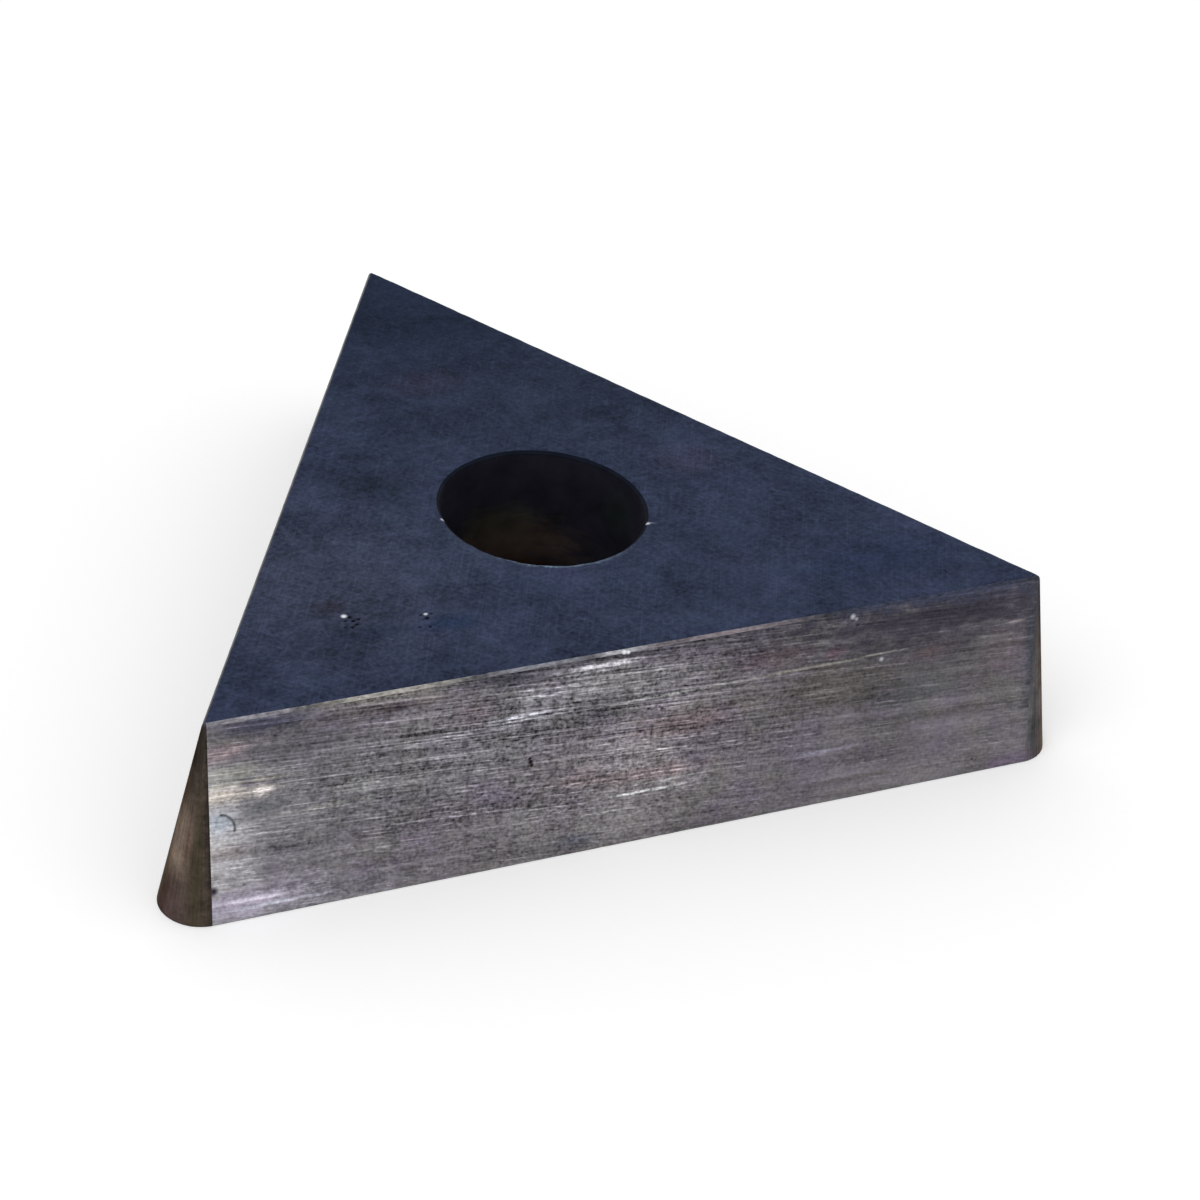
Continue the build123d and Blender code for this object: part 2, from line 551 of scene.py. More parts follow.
# %% Helpers for nodes
def fill(tree, node, inputs):
    """Fills a node's inputs with values or links."""
    for name, value in inputs.items():
        if isinstance(value, bpy.types.NodeSocket):
            tree.links.new(value, node.inputs[name])
        else:
            node.inputs[name].default_value = value


def add(tree, kind, inputs, **settings):
    """Adds a node with its settings and inputs."""
    node = tree.nodes.new("ShaderNode" + kind)
    for name, value in settings.items():
        setattr(node, name, value)
    fill(tree, node, inputs)
    return node


def calculate(tree, operation, *values):
    """A Math node's result."""
    return add(tree, "Math", dict(enumerate(values)), operation=operation).outputs[0]


def add_up(tree, total, *parts):
    """A total to which patterns are added, each times its weight."""
    for pattern, weight in parts:
        total = calculate(tree, "MULTIPLY_ADD", pattern, weight, total)
    return total


def vector_math(tree, operation, *values):
    """A Vector Math node's result."""
    return add(tree, "VectorMath", dict(enumerate(values)), operation=operation).outputs[0]


def scaled(tree, vector, factor):
    """A place or a colour times a number."""
    return add(tree, "VectorMath", {0: vector, "Scale": factor}, operation="SCALE").outputs[0]


def stretched(tree, place, length, width, seed):
    """A place divided by a length and a width, with a seed as its third number."""
    parts = add(tree, "SeparateXYZ", {0: place}).outputs
    along = calculate(tree, "DIVIDE", parts["X"], length)
    across = calculate(tree, "DIVIDE", parts["Y"], width)
    return add(tree, "CombineXYZ", {"X": along, "Y": across, "Z": seed}).outputs[0]


def turned(tree, place, angle):
    """A place on the map, turned by an angle in degrees."""
    return add(tree, "Mapping", {"Vector": place, "Rotation": (0, 0, radians(angle))}).outputs[0]


def noise_on(tree, place, scale, detail, roughness):
    """A noise pattern."""
    inputs = {"Vector": place, "Scale": scale, "Detail": detail, "Roughness": roughness}
    return add(tree, "TexNoise", inputs).outputs["Fac"]


def mix(tree, factor, first, second, label=""):
    """One colour laid over another."""
    return add(tree, "Mix", {0: factor, 6: first, 7: second}, data_type="RGBA", label=label).outputs[2]


def spread(tree, value, low, high, to_low=0.0, to_high=1.0, interpolation="LINEAR"):
    """A value moved from one range to another, and held inside it."""
    inputs = {0: value, 1: low, 2: high, 3: to_low, 4: to_high}
    return add(tree, "MapRange", inputs, interpolation_type=interpolation).outputs[0]


# %% Helpers for node groups
ORIGIN = (0.0, 0.0, 0.0)
WHITE = (1.0, 1.0, 1.0, 1.0)


SOCKETS = {1: "NodeSocketFloat", 3: "NodeSocketVector", 4: "NodeSocketColor"}


def start_group(name, inputs, output, size=1):
    """Starts a node group with named inputs and one output: a number, or a colour of size 4."""
    group = bpy.data.node_groups.new(name, "ShaderNodeTree")
    for label, value in inputs.items():
        kind = SOCKETS[len(value) if isinstance(value, tuple) else 1]
        group.interface.new_socket(label, in_out="INPUT", socket_type=kind).default_value = value
    group.interface.new_socket(output, in_out="OUTPUT", socket_type=SOCKETS[size])
    return group, group.nodes.new("NodeGroupInput").outputs


def end_group(group, value):
    """Links a value to a group's output, and gives the group."""
    group.links.new(value, group.nodes.new("NodeGroupOutput").inputs[0])
    print("group", group.name, "has", len(group.nodes), "nodes")
    return group


def use_group(tree, group, inputs):
    """Places a group in a tree and gives its output."""
    return add(tree, "Group", inputs, node_tree=group).outputs[0]


# %% [markdown]
# ## Shared effect: grinding lines
# A grinding wheel leaves parallel lines. They are a noise pattern that is squeezed across the lines and drawn
# out along them. A stretched noise was chosen over a wave pattern because real lines start, stop and vary in
# strength.

# %% The grinding lines group
inputs = {"Vector": ORIGIN, "Length": 1.0, "Width": 0.06, "Seed": 0.0}
group, given = start_group("grinding_lines", inputs, "Lines")
place = stretched(group, given["Vector"], given["Length"], given["Width"], given["Seed"])
grinding_lines = end_group(group, spread(group, noise_on(group, place, 1.0, 3.0, 0.6), 0.28, 0.72))


def lines_on(tree, place, length, width, seed):
    """Grinding lines of a length and a width, in millimetres."""
    inputs = {"Vector": place, "Length": length, "Width": width, "Seed": seed}
    return use_group(tree, grinding_lines, inputs)


# %% [markdown]
# ## Shared effect: mottling
# Handling, coolant and storage leave a faint cloudiness on the metal. It is a soft noise of a given size.

# %% The mottling group
inputs = {"Vector": ORIGIN, "Size": 2.0, "Detail": 3.0, "Seed": 0.0}
group, given = start_group("mottling", inputs, "Clouds")
place = stretched(group, given["Vector"], given["Size"], given["Size"], given["Seed"])
mottling = end_group(group, spread(group, noise_on(group, place, 1.0, given["Detail"], 0.55), 0.25, 0.75))


def clouds_on(tree, place, size, seed, detail=3.0):
    """Clouds of a size, in millimetres."""
    return use_group(tree, mottling, {"Vector": place, "Size": size, "Detail": detail, "Seed": seed})


# %% [markdown]
# ## Shared effect: a soft patch
# Some marks sit at one place: a stain, a rub, a streak, and the painted highlights, reflections and shade too.
# Each is an oval patch with a soft border, given by its centre and its reach on the map. The shift moves the
# border in and out.

# %% The soft patch group
inputs = {"Vector": ORIGIN, "Centre": ORIGIN, "Reach": (1.0, 1.0, 1.0), "Shift": 0.0}
group, given = start_group("soft_patch", inputs, "Mask")
offset = vector_math(group, "SUBTRACT", given["Vector"], given["Centre"])
offset = vector_math(group, "DIVIDE", offset, given["Reach"])
distance = add(group, "VectorMath", {0: offset}, operation="LENGTH").outputs["Value"]
distance = calculate(group, "ADD", distance, given["Shift"])
soft_patch = end_group(group, spread(group, distance, 0.1, 1.0, 1.0, 0.0, "SMOOTHSTEP"))


def patch_on(tree, place, u, v, reach_u, reach_v, shift=0.0):
    """A soft patch round a place on the map."""
    inputs = {"Vector": place, "Centre": (u, v, 0), "Reach": (reach_u, reach_v, 1), "Shift": shift}
    return use_group(tree, soft_patch, inputs)


# %% [markdown]
# ## Shared effect: ragged borders
# Stains, rubs and painted highlights don't end in a clean oval. This noise is the shift that makes the borders
# of the patches uneven. It is drawn out along the flanks, as the grinding is.

# %% The ragged border group
group, given = start_group("ragged_border", {"Vector": ORIGIN, "Amount": 0.3}, "Shift")
place = vector_math(group, "MULTIPLY", given["Vector"], (1.0, 2.5, 1.0))
swing = spread(group, noise_on(group, place, 2.0, 4.0, 0.65), 0.25, 0.75, -1.0, 1.0)
ragged_border = end_group(group, calculate(group, "MULTIPLY", swing, given["Amount"]))

# %% [markdown]
# ## Effect: specks
# Small pits and grains of dirt on the flanks are scattered dots. A Voronoi pattern gives one dot to each
# cell, and only a share of the cells keep theirs.

# %% The specks group
inputs = {"Vector": ORIGIN, "Spacing": 0.5, "Size": 0.05, "Share": 0.2}
group, given = start_group("specks", inputs, "Mask")
place = scaled(group, given["Vector"], calculate(group, "DIVIDE", 1.0, given["Spacing"]))
cells = add(group, "TexVoronoi", {"Vector": place, "Scale": 1.0}).outputs
radius = calculate(group, "DIVIDE", given["Size"], given["Spacing"])
inside = spread(group, calculate(group, "DIVIDE", cells["Distance"], radius), 0.6, 1.0, 1.0, 0.0)
chance = add(group, "SeparateColor", {0: cells["Color"]}).outputs[0]
chosen = calculate(group, "LESS_THAN", chance, given["Share"])
specks = end_group(group, calculate(group, "MULTIPLY", inside, chosen))

# %% [markdown]
# ## Shared effect: edge wear and edge highlight
# Edges are rubbed bright in a band that is never even. The mask is full on the edge and fades out at a width
# that a noise pattern keeps changing. On the seat face the same band carries a painted highlight along the
# bore's near edge.

# %% The edge wear and edge highlight group
inputs = {"Vector": ORIGIN, "Distance": 1.0, "Width": 0.1, "Unevenness": 0.8}
group, given = start_group("edge_wear_and_glint", inputs, "Mask")
noise = noise_on(group, given["Vector"], 3.0, 4.0, 0.65)
swing = calculate(group, "MULTIPLY", spread(group, noise, 0.3, 0.7, -1.0, 1.0), given["Unevenness"])
width = calculate(group, "MULTIPLY", given["Width"], calculate(group, "ADD", swing, 1.0))
share = calculate(group, "DIVIDE", given["Distance"], calculate(group, "MAXIMUM", width, 0.001))
edge_wear_and_glint = end_group(group, spread(group, share, 0.3, 1.0, 1.0, 0.0))

# %% [markdown]
# ## Shared effect: dirt, painted shade and bare metal
# The dents are darkened, for the dirt in them and for painted shade, and a fresh chip shows bare metal,
# whatever the finish round it; two of the chips are painted glints. This group takes a finish's colour,
# brightens or darkens it by its tone, and lays the darkening and the bare metal over it.

# %% The dirt, painted shade and bare metal group
DENT_DIRT_AND_SHADE = 0.10
FRESH_METAL_AND_GLINT = (0.84, 0.86, 0.93, 1)
inputs = {"Colour": WHITE, "Tone": 1.0, "Dent": 0.0, "ChipAndGlint": 0.0}
group, given = start_group("metal_with_dirt_shade_and_glints", inputs, "Metal", 4)
# The dents are darkened for dirt and for painted shade in them.
dirt_and_shade = spread(group, given["Dent"], 0.05, 0.50, 1.0, DENT_DIRT_AND_SHADE)
toned = scaled(group, given["Colour"], calculate(group, "MULTIPLY", given["Tone"], dirt_and_shade))
bare_and_glint = spread(group, given["ChipAndGlint"], 0.10, 0.75)
metal_with_dirt_shade_and_glints = end_group(group, mix(group, bare_and_glint, toned, FRESH_METAL_AND_GLINT))

# %% [markdown]
# ## Laying marks and painted light on a finish
# Every finish starts with a base colour and a tone, a number near 1 that brightens or darkens it. Grinding
# lines and clouds change the tone everywhere. A mark that sits at one place is a row in a list: its name, two
# numbers for its centre on the map, two for its reach, three for its colour, and its strength. Many of these
# rows are painted highlights, reflections or shade rather than marks on the metal.

# %% Helpers for finishes
BUMP_DEPTH = 0.01 * MM


def attribute(tree, name):
    """One of the numbers that the mesh keeps for each of its points."""
    return add(tree, "Attribute", {}, attribute_name=name).outputs["Fac"]


def start_finish(name):
    """Gives a material's tree and the place on the map."""
    materials[name].use_nodes = True
    tree = materials[name].node_tree
    return tree, add(tree, "UVMap", {}, uv_map="surface_mm").outputs[0]


def lay_marks_and_painted_light(tree, place, raggedness, colour, marks):
    """Lays marks and painted light over a colour."""
    shift = use_group(tree, ragged_border, {"Vector": place, "Amount": raggedness})
    for name, u, v, reach_u, reach_v, *paint, strength in marks:
        patch = patch_on(tree, place, u, v, reach_u, reach_v, shift)
        colour = mix(tree, calculate(tree, "MULTIPLY", patch, strength), colour, (*paint, 1), name)
    return colour


def finish_with(tree, colour, tone, sockets, height=None, bump=0.0):
    """Fills the shader's sockets with a metal finish, and with what else is given for them."""
    dent, chip_and_glint = attribute(tree, "dent"), attribute(tree, "chip_and_glint")
    metal = use_group(tree, metal_with_dirt_shade_and_glints, {"Colour": colour, "Tone": tone, "Dent": dent, "ChipAndGlint": chip_and_glint})
    shader = tree.nodes["Principled BSDF"]
    fill(tree, shader, {"Base Color": metal, "Metallic": 1.0, **sockets})
    if height:
        inputs = {"Height": height, "Strength": bump, "Distance": BUMP_DEPTH}
        fill(tree, shader, {"Normal": add(tree, "Bump", inputs).outputs[0]})
    print("finish with", len(tree.nodes), "nodes")


# %% [markdown]
# ## The ground flanks
# The flanks are bare carbide, a warm grey with a little purple. Long grinding lines run along them, some
# bright and some dark, and they gather in clusters. On the front flank painted highlights brighten the left
# end and parts of the middle, short bright streaks run through the middle, and the upper right is darker.

# %% The marks and painted highlights on the front flank
FRONT_MARKS_AND_HIGHLIGHTS = [
    # The glow and flash rows are painted highlights, and the dim rows paint the zones between them darker.
    ("left glow", -9.9, 2.9, 2.2, 3.6, 0.5, 0.48, 0.5, 0.95),
    ("left haze", -8.2, 2.4, 2.8, 3.0, 0.202, 0.197, 0.216, 0.6),
    ("left edge glow", -9.7, 2.55, 1.3, 1.8, 0.58, 0.568, 0.585, 0.78),
    ("middle haze", -3.6, 1.7, 1.9, 1.0, 0.186, 0.182, 0.198, 0.6),
    ("low left glow", -7.8, 4.7, 3.7, 1.3, 0.29, 0.28, 0.31, 0.88),
    ("middle glow", -0.1, 3.1, 1.9, 2.4, 0.25, 0.234, 0.244, 0.9),
    ("lower middle glow", -2.0, 3.4, 2.6, 0.7, 0.205, 0.196, 0.21, 0.6),
    ("dim band", -3.4, 2.3, 2.0, 0.42, 0.1, 0.095, 0.102, 0.55),
    ("upper middle glow", -1.8, 0.9, 2.8, 0.9, 0.195, 0.19, 0.205, 0.6),
    ("upper right glow", 0.5, 0.75, 1.5, 0.6, 0.24, 0.232, 0.242, 0.7),
    ("right middle glow", 4.9, 2.0, 2.3, 0.8, 0.15, 0.14, 0.14, 0.6),
    ("dim upper middle", 3.2, 0.35, 1.5, 0.55, 0.072, 0.066, 0.078, 0.65),
    ("neutral left", -5.8, 1.9, 3.6, 1.9, 0.176, 0.172, 0.182, 0.65),
    ("dim upper left", -7.3, 0.74, 2.1, 0.62, 0.088, 0.084, 0.094, 0.65),
    ("dim top", -1.0, -0.1, 11.0, 0.7, 0.06, 0.057, 0.07, 0.75),
    ("dim right", 6.2, 1.2, 6.0, 2.2, 0.086, 0.081, 0.087, 0.8),
    ("dark upper right", 7.4, 0.5, 6.6, 1.15, 0.04, 0.036, 0.05, 0.92),
    ("blue upper right", 7.9, -0.05, 5.6, 0.5, 0.052, 0.058, 0.094, 0.9),
    ("low right", 6.8, 4.3, 6.4, 1.1, 0.186, 0.175, 0.184, 0.62),
    ("low middle", -1.8, 4.2, 4.4, 0.9, 0.19, 0.183, 0.184, 0.62),
    ("cream band", -5.7, 0.1, 2.3, 0.24, 0.27, 0.255, 0.245, 0.75),
    ("dark gap", -3.0, 0.22, 1.1, 0.36, 0.062, 0.062, 0.078, 0.8),
    ("brown line", -5.4, 0.36, 2.2, 0.16, 0.105, 0.088, 0.086, 0.65),
    ("violet corner", -8.3, 0.2, 1.6, 0.34, 0.058, 0.058, 0.092, 0.85),
    ("edge nick", -9.46, 3.78, 0.16, 0.2, 0.03, 0.028, 0.034, 0.95),
    ("pink corner", -9.2, 0.7, 0.8, 0.36, 0.27, 0.2, 0.22, 0.65),
    ("green rub", -9.0, 1.22, 1.1, 0.34, 0.27, 0.275, 0.24, 0.6),
    ("cream flash", -9.2, 1.66, 1.5, 0.24, 0.66, 0.6, 0.55, 0.9),
    ("cream line", -8.9, 1.44, 1.6, 0.06, 0.42, 0.39, 0.35, 0.8),
    ("pale block", -6.3, 1.93, 0.9, 0.36, 0.27, 0.268, 0.272, 0.75),
    ("pink flash", -8.35, 1.72, 0.36, 0.16, 0.8, 0.74, 0.72, 0.8),
    ("pale blue dent", -9.25, 2.28, 0.5, 0.42, 0.36, 0.4, 0.46, 0.8),
    ("dark smudge", -8.3, 2.08, 0.7, 0.24, 0.085, 0.092, 0.094, 0.7),
    ("pale streak", -6.9, 2.31, 2.3, 0.09, 0.26, 0.262, 0.255, 0.75),
    ("rose patch", -9.1, 2.95, 0.7, 0.22, 0.29, 0.23, 0.23, 0.5),
    ("lavender corner", -8.8, 4.15, 1.8, 0.46, 0.42, 0.38, 0.48, 0.85),
    ("lavender line", -8.5, 4.12, 1.5, 0.07, 0.7, 0.65, 0.76, 0.85),
    ("lower line", -8.2, 4.3, 1.5, 0.06, 0.62, 0.62, 0.72, 0.85),
    ("white streak", -0.95, 0.27, 1.3, 0.085, 0.6, 0.59, 0.64, 0.95),
    ("pale patch", -2.5, 0.78, 0.7, 0.34, 0.28, 0.28, 0.3, 0.7),
    ("white line 2", -1.2, 0.38, 1.1, 0.05, 0.4, 0.4, 0.43, 0.8),
    ("white line 3", -0.9, 0.58, 1.3, 0.045, 0.36, 0.36, 0.37, 0.7),
    ("bright line", -2.85, 1.1, 1.0, 0.042, 0.68, 0.68, 0.76, 0.95),
    ("bright line 2", -2.6, 1.19, 1.2, 0.036, 0.6, 0.6, 0.66, 0.9),
    ("bright line 3", -3.0, 1.28, 0.7, 0.04, 0.42, 0.42, 0.46, 0.8),
    ("middle dashes", 0.2, 1.22, 2.2, 0.045, 0.46, 0.46, 0.46, 0.8),
    ("long line", 3.9, 1.2, 2.5, 0.05, 0.29, 0.275, 0.25, 0.75),
    ("short line", 5.6, 1.17, 0.7, 0.035, 0.36, 0.34, 0.33, 0.8),
    ("pink dash", 8.95, 0.98, 0.4, 0.05, 0.26, 0.22, 0.23, 0.8),
    ("dark ticks", -0.85, 1.25, 0.9, 0.55, 0.085, 0.085, 0.09, 0.5),
    ("rose middle", 1.0, 1.95, 1.8, 0.5, 0.178, 0.13, 0.14, 0.62),
    ("rose below", 0.1, 3.0, 1.9, 0.32, 0.23, 0.172, 0.182, 0.6),
    ("low dashes", 0.0, 3.4, 1.5, 0.05, 0.74, 0.74, 0.76, 0.95),
    ("low dashes 2", 0.5, 3.22, 1.5, 0.04, 0.46, 0.45, 0.46, 0.8),
    ("low dashes 3", -0.5, 3.72, 0.9, 0.045, 0.4, 0.4, 0.4, 0.7),
    ("blue patch", -1.5, 4.25, 0.7, 0.24, 0.086, 0.09, 0.13, 0.6),
    ("olive patch", 4.2, 1.75, 2.8, 0.7, 0.124, 0.112, 0.1, 0.5),
    ("rose band", 3.0, 0.85, 1.3, 0.36, 0.112, 0.082, 0.092, 0.6),
    ("rose spot", 4.5, 0.98, 0.5, 0.22, 0.1, 0.064, 0.076, 0.6),
    ("rose flash", 6.8, 1.38, 0.6, 0.26, 0.104, 0.074, 0.082, 0.6),
    ("rose left", -3.8, 0.85, 0.7, 0.4, 0.15, 0.118, 0.132, 0.55),
    ("rose low", -1.5, 2.8, 1.0, 0.36, 0.18, 0.138, 0.142, 0.5),
    ("teal patch", 6.6, 2.25, 1.5, 0.55, 0.098, 0.108, 0.114, 0.5),
    ("rose right", 8.7, 1.7, 0.9, 0.9, 0.13, 0.102, 0.114, 0.5),
    ("lavender streak", 4.5, 3.3, 1.5, 0.08, 0.26, 0.25, 0.31, 0.7),
    ("brown streak", 5.1, 4.08, 1.6, 0.09, 0.085, 0.072, 0.062, 0.55),
    ("brown band", 7.7, 2.85, 2.2, 0.15, 0.088, 0.078, 0.08, 0.45),
    ("purple corner", 9.0, 4.42, 1.0, 0.32, 0.138, 0.104, 0.16, 0.7),
    ("dark corner", 9.52, 1.7, 0.42, 2.9, 0.052, 0.057, 0.07, 0.92),
    ("foot", 0.0, 4.6, 12.0, 0.12, 0.165, 0.155, 0.125, 0.6),
]
RIGHT_FLANK_MARKS = [
    ("haze", -5.0, 3.2, 3.4, 1.9, 0.19, 0.185, 0.19, 0.7),
    ("stain", 4.4, 0.9, 3.6, 1.2, 0.085, 0.078, 0.08, 0.8),
    ("rub", 1.0, 2.3, 2.6, 0.1, 0.33, 0.32, 0.32, 0.7),
    ("line", -2.6, 0.8, 3.4, 0.05, 0.3, 0.29, 0.27, 0.7),
]
LEFT_FLANK_MARKS = [
    ("haze", 3.5, 1.4, 3.8, 1.6, 0.185, 0.18, 0.188, 0.7),
    ("stain", -4.8, 3.0, 3.4, 1.5, 0.095, 0.084, 0.074, 0.75),
    ("rub", 5.6, 3.2, 1.6, 0.12, 0.36, 0.35, 0.36, 0.7),
    ("line", -1.4, 1.5, 3.8, 0.05, 0.3, 0.285, 0.27, 0.7),
]


def moved(step, marks):
    """The marks and painted light of a flank or a nose, moved to its place on the map."""
    return [(name, u + step * MAP_STEP, *rest) for name, u, *rest in marks]


FLANK_MARKS_AND_HIGHLIGHTS = FRONT_MARKS_AND_HIGHLIGHTS + moved(1, RIGHT_FLANK_MARKS) + moved(2, LEFT_FLANK_MARKS)
print("marks on the front flank:", len(FRONT_MARKS_AND_HIGHLIGHTS), "on all three:", len(FLANK_MARKS_AND_HIGHLIGHTS))

# %% [markdown]
# ## The flank's patterns
# The lines have several lengths and widths, and most lean a few degrees, as the wheel did. Clouds, blotches
# and a fine grain keep them from looking ruled.

# %% The patterns of the flank
tree, place = start_finish("ground_flank")
leaning = turned(tree, place, -3.5)
fine_lines = lines_on(tree, turned(tree, place, -6), 0.24, 0.052, 1.0)
ruled_lines = lines_on(tree, leaning, 3.2, 0.055, 5.0)
broad_lines = lines_on(tree, leaning, 4.0, 0.26, 7.0)
bands = lines_on(tree, place, 9.0, 0.70, 8.0)
clouds = clouds_on(tree, place, 1.3, 3.0, 4.0)
blotches = clouds_on(tree, place, 0.24, 13.0)
grain = clouds_on(tree, place, 0.080, 11.0, 1.0)
clusters = spread(tree, clouds_on(tree, place, 0.9, 9.0), 0.35, 0.80)
pits = use_group(tree, specks, {"Vector": place, "Spacing": 0.45, "Size": 0.040, "Share": 0.20})

# %% The swing between its bright and dark lines
bright_lines = spread(tree, ruled_lines, 0.55, 0.95)
dark_lines = spread(tree, ruled_lines, 0.45, 0.05)
dashes = calculate(tree, "MULTIPLY", bright_lines, spread(tree, fine_lines, 0.45, 0.80))
dashes = calculate(tree, "MULTIPLY", dashes, clusters)
down = add(tree, "SeparateXYZ", {0: place}).outputs["Y"]
ruled_depth = spread(tree, down, 1.2, 3.6, 1.15, 0.35)
bright_lines = calculate(tree, "MULTIPLY", bright_lines, ruled_depth)
dark_lines = calculate(tree, "MULTIPLY", dark_lines, ruled_depth)
swing = add_up(tree, -0.69, (fine_lines, 0.62), (grain, 0.76), (bright_lines, 0.68), (dark_lines, -0.40),
               (dashes, 2.2))

# %% The flank's tone
LIVELY_PATCH = (-2.0, 1.7, 9.3, 4.8)
DARKEST_TONE = 0.12
lively = add_up(tree, 0.56, (patch_on(tree, place, *LIVELY_PATCH), 1.05))
tone = add_up(tree, 0.34, (swing, lively), (broad_lines, 0.46), (bands, 0.36), (clouds, 0.46))
tone = calculate(tree, "MAXIMUM", tone, DARKEST_TONE)
tone = calculate(tree, "MULTIPLY", tone, spread(tree, pits, 0.0, 1.0, 1.0, 0.40))
mottles = spread(tree, blotches, 0.45, 0.85, 0.2, -1.0)
mottles = calculate(tree, "MULTIPLY", mottles, add_up(tree, -0.06, (lively, 0.32)))
tone = add_up(tree, tone, (tone, mottles))

# %% The flank's colour
CARBIDE_GREY = (0.149, 0.142, 0.146, 1)
CARBIDE_PURPLE = (0.148, 0.130, 0.164, 1)
tint = spread(tree, clouds_on(tree, place, 1.1, 21.0, 2.0), 0.25, 0.75)
colour = mix(tree, tint, CARBIDE_GREY, CARBIDE_PURPLE)
colour = lay_marks_and_painted_light(tree, place, 0.40, colour, FLANK_MARKS_AND_HIGHLIGHTS)
roughness = spread(tree, fine_lines, 0.0, 1.0, 0.52, 0.36)
height = add_up(tree, fine_lines, (ruled_lines, 1.5))
finish_with(tree, colour, tone, {"Roughness": roughness}, height, bump=0.25)

# %% [markdown]
# ## The ground noses
# The noses were ground by turning the insert. What shows is fine lines, and dark bands that run down the cone,
# which are painted reflections. The left nose is brown, olive next to the flank, a painted reflection of the
# brown surface below; the right one starts as grey as the flank and turns dark, with a brown rim, also painted
# reflections. A near-black strip on the left nose is painted shade along its join with the flank.

# %% The nose finish
# The brown of the noses is a painted reflection of the brown surface below.
NOSE_REFLECTION_BROWN = (0.082, 0.062, 0.050, 1)
NOSE_SHEEN = (0.40, 0.38, 0.36, 1)
BACK_NOSE_MARKS = [
    ("tan", -0.3, 3.0, 0.7, 1.5, 0.15, 0.118, 0.09, 0.8),
    ("top", 0.2, 0.5, 1.3, 1.4, 0.045, 0.04, 0.036, 0.8),
]
LEFT_NOSE_REFLECTIONS = [
    ("top", 0.1, 0.4, 1.5, 2.1, 0.0295, 0.0243, 0.0205, 0.95),
    ("tan", -0.25, 2.8, 0.7, 1.3, 0.202, 0.156, 0.124, 0.9),
    ("plum", -0.15, 4.3, 0.9, 1.0, 0.08, 0.055, 0.053, 0.85),
    ("olive", 0.52, 3.2, 0.3, 3.0, 0.048, 0.041, 0.025, 0.9),
    ("red brown reflection", 0.15, 2.7, 0.2, 0.8, 0.12, 0.072, 0.055, 0.6),
    # The crease row is painted shade where the nose meets the flank.
    ("crease", 1.05, 2.2, 0.55, 5.0, 0.016, 0.014, 0.013, 1.0),
]
RIGHT_NOSE_REFLECTIONS = [
    ("grey", -1.0, 3.6, 1.6, 3.6, 0.13, 0.122, 0.128, 1.0),
    ("upper band", -0.92, 1.6, 0.34, 2.6, 0.056, 0.06, 0.066, 0.92),
    ("lower band", -0.66, 4.0, 0.26, 2.2, 0.052, 0.056, 0.058, 0.9),
    ("brown", -0.1, 4.2, 0.5, 3.0, 0.165, 0.13, 0.104, 0.88),
    ("rim", 0.12, 2.2, 0.26, 4.5, 0.11, 0.096, 0.08, 0.8),
    ("foot", -0.95, 4.5, 0.6, 0.6, 0.12, 0.098, 0.13, 0.8),
    ("violet", -0.7, 0.4, 1.0, 1.6, 0.056, 0.053, 0.064, 0.85),
]
NOSE_MARKS_AND_REFLECTIONS = moved(0.5, BACK_NOSE_MARKS) + moved(1.5, LEFT_NOSE_REFLECTIONS) + moved(2.5, RIGHT_NOSE_REFLECTIONS)
tree, place = start_finish("ground_nose")
lines = lines_on(tree, turned(tree, place, 90), 1.8, 0.07, 4.0)
clouds = clouds_on(tree, place, 0.5, 14.0)
grain = clouds_on(tree, place, 0.09, 15.0, 2.0)
tone = add_up(tree, 0.30, (lines, 0.55), (clouds, 0.55), (grain, 0.35))
colour = lay_marks_and_painted_light(tree, place, 0.25, NOSE_REFLECTION_BROWN, NOSE_MARKS_AND_REFLECTIONS)
finish_with(tree, colour, tone, {"Roughness": 0.42, "Specular Tint": NOSE_SHEEN}, lines, bump=0.2)

# %% [markdown]
# ## The two flat faces
# The flat faces are lapped and then tumbled, which leaves a satin with a faint cloudiness and fine scratches
# in several directions. Their dark blue is a painted reflection of the surroundings, painted lighter towards
# the front left, and there are smudges next to the two groups of small pits. The edges of the cutting face are
# rubbed pale, and the pale line along the bore's front edge is a painted highlight.

# %% The seat face and cutting face finishes
# The pale and dark patches at the apex, the middle, the left and the low side paint the reflection lighter
# towards the front left; the smudges sit next to the pits.
SEAT_MARKS_AND_REFLECTIONS = [
    ("dark apex", 0.6, 10.5, 8.5, 10.0, 0.0098, 0.0146, 0.0315, 1.0),
    ("dark middle", 0.8, 4.2, 5.0, 3.6, 0.0185, 0.0245, 0.046, 0.8),
    ("pale left", -5.6, -1.6, 4.6, 4.8, 0.0368, 0.0428, 0.0708, 0.9),
    ("pale by the bore", -2.8, -1.0, 1.6, 2.0, 0.035, 0.044, 0.078, 0.6),
    ("pale low", -0.5, -4.4, 4.5, 1.5, 0.03, 0.038, 0.069, 0.6),
    ("dark diagonal", -3.3, 1.9, 1.7, 0.9, 0.018, 0.0235, 0.041, 0.8),
    ("left smudge", -5.3, -3.5, 1.4, 0.4, 0.019, 0.026, 0.048, 0.75),
    ("right smudge", -3.6, -3.6, 1.0, 0.45, 0.014, 0.023, 0.052, 0.9),
    ("rose spot", -5.8, -2.4, 0.5, 0.35, 0.04, 0.033, 0.052, 0.65),
    ("rose top", -0.7, 5.6, 1.6, 0.8, 0.029, 0.026, 0.048, 0.55),
    ("rose right", 4.0, 0.9, 1.4, 1.0, 0.037, 0.036, 0.066, 0.6),
    ("dark right", 6.4, -3.9, 3.0, 1.2, 0.017, 0.026, 0.058, 0.65),
]
